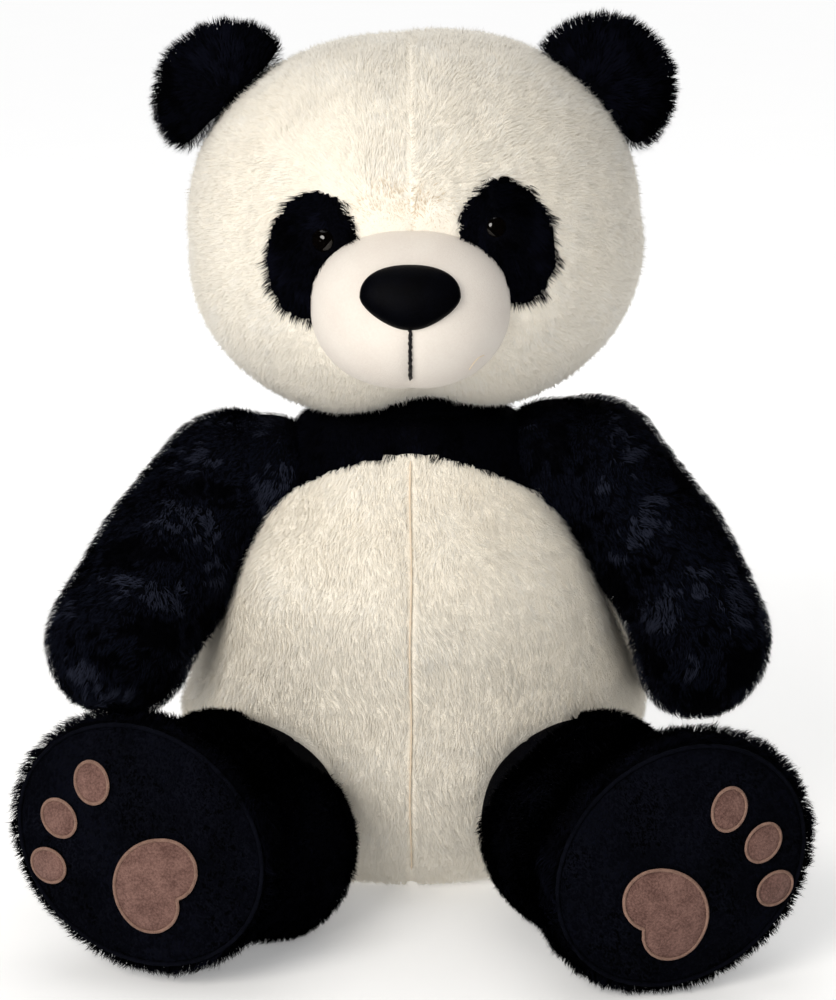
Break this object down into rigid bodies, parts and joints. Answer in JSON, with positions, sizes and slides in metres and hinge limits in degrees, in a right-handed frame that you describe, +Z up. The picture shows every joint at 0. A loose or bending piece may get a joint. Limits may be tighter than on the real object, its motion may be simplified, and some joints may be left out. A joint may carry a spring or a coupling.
{
  "type": "seated plush panda",
  "caption": "Seated plush panda with turning and nodding head, folding ears, swinging arms and lifting legs, with embroidered paw pads on its soles.",
  "frame": {"origin": "on the floor under the middle of the whole seated toy", "axes": "+Z up, -Y the way the face looks, +X towards the panda's own left"},
  "size_m": [0.4043, 0.3788, 0.4796],
  "materials": {
    "ivory_plush": "matte",
    "black_plush": "matte",
    "sole_velboa": "matte",
    "cream_velour": "matte",
    "mauve_velour": "matte",
    "mauve_thread": "satin",
    "black_thread": "satin",
    "nose_satin": "satin",
    "eye_plastic": "gloss",
    "white_nylon": "matte",
    "polyester_filling": "matte",
    "label_ribbon": "satin"
  },
  "bodies": {
    "arm_left": {"arm_back_panel_left": "black_plush", "arm_filling_left": "polyester_filling", "arm_front_panel_left": "black_plush"},
    "arm_right": {"arm_back_panel_right": "black_plush", "arm_filling_right": "polyester_filling", "arm_front_panel_right": "black_plush"},
    "torso": {"back_panel_left": "ivory_plush", "back_panel_right": "ivory_plush", "back_yoke": "black_plush", "belly_panel_left": "ivory_plush", "belly_panel_right": "ivory_plush", "body_filling": "polyester_filling", "care_label": "label_ribbon", "chest_yoke": "black_plush", "tail_cover": "ivory_plush", "tail_filling": "polyester_filling"},
    "ear_left": {"ear_back_panel_left": "black_plush", "ear_filling_left": "polyester_filling", "ear_front_panel_left": "black_plush"},
    "ear_right": {"ear_back_panel_right": "black_plush", "ear_filling_right": "polyester_filling", "ear_front_panel_right": "black_plush"},
    "head": {"eye_left": "eye_plastic", "eye_patch_left": "black_plush", "eye_patch_right": "black_plush", "eye_right": "eye_plastic", "eye_washer_left": "white_nylon", "eye_washer_right": "white_nylon", "face_panel_left": "ivory_plush", "face_panel_right": "ivory_plush", "head_back_panel_left": "ivory_plush", "head_back_panel_right": "ivory_plush", "head_filling": "polyester_filling", "mouth_stitching": "black_thread", "muzzle_cover": "cream_velour", "muzzle_filling": "polyester_filling", "nose": "nose_satin"},
    "leg_left": {"foot_sole_left": "sole_velboa", "heel_pad_left": "mauve_velour", "leg_filling_left": "polyester_filling", "leg_top_panel_left": "black_plush", "leg_under_panel_left": "black_plush", "pad_stitching_left": "mauve_thread", "toe_pad_inner_left": "mauve_velour", "toe_pad_middle_left": "mauve_velour", "toe_pad_outer_left": "mauve_velour"},
    "leg_right": {"foot_sole_right": "sole_velboa", "heel_pad_right": "mauve_velour", "leg_filling_right": "polyester_filling", "leg_top_panel_right": "black_plush", "leg_under_panel_right": "black_plush", "pad_stitching_right": "mauve_thread", "toe_pad_inner_right": "mauve_velour", "toe_pad_middle_right": "mauve_velour", "toe_pad_outer_right": "mauve_velour"},
    "neck": {"neck_filling": "polyester_filling"}
  },
  "joints": [
    {"name": "neck_turn", "type": "hinge", "parent": "torso", "child": "neck", "pos_m": [0, 0.062, 0.228], "axis": [0, 0, 1], "range_deg": [-25, 25], "stiffness_Nm_per_rad": 1.2},
    {"name": "neck_nod", "type": "hinge", "parent": "neck", "child": "head", "pos_m": [0, 0.062, 0.228], "axis": [1, 0, 0], "range_deg": [-10, 12], "stiffness_Nm_per_rad": 12},
    {"name": "ear_fold_left", "type": "hinge", "parent": "head", "child": "ear_left", "pos_m": [0.09919, 0.052, 0.43585], "axis": [0.7141, 0, -0.7], "range_deg": [-18, 18], "stiffness_Nm_per_rad": 0.15},
    {"name": "shoulder_left", "type": "hinge", "parent": "torso", "child": "arm_left", "pos_m": [0.107, 0.056, 0.228], "axis": [-1, 0, 0], "range_deg": [-15, 75], "stiffness_Nm_per_rad": 2.5},
    {"name": "hip_left", "type": "hinge", "parent": "torso", "child": "leg_left", "pos_m": [0.092, -0.045, 0.054], "axis": [-1, 0, 0], "range_deg": [0, 35], "stiffness_Nm_per_rad": 4},
    {"name": "ear_fold_right", "type": "hinge", "parent": "head", "child": "ear_right", "pos_m": [-0.09919, 0.052, 0.43585], "axis": [0.7141, 0, 0.7], "range_deg": [-18, 18], "stiffness_Nm_per_rad": 0.15},
    {"name": "shoulder_right", "type": "hinge", "parent": "torso", "child": "arm_right", "pos_m": [-0.107, 0.056, 0.219], "axis": [-1, 0, 0], "range_deg": [-15, 75], "stiffness_Nm_per_rad": 2.5},
    {"name": "hip_right", "type": "hinge", "parent": "torso", "child": "leg_right", "pos_m": [-0.092, -0.045, 0.054], "axis": [-1, 0, 0], "range_deg": [0, 35], "stiffness_Nm_per_rad": 4}
  ]
}
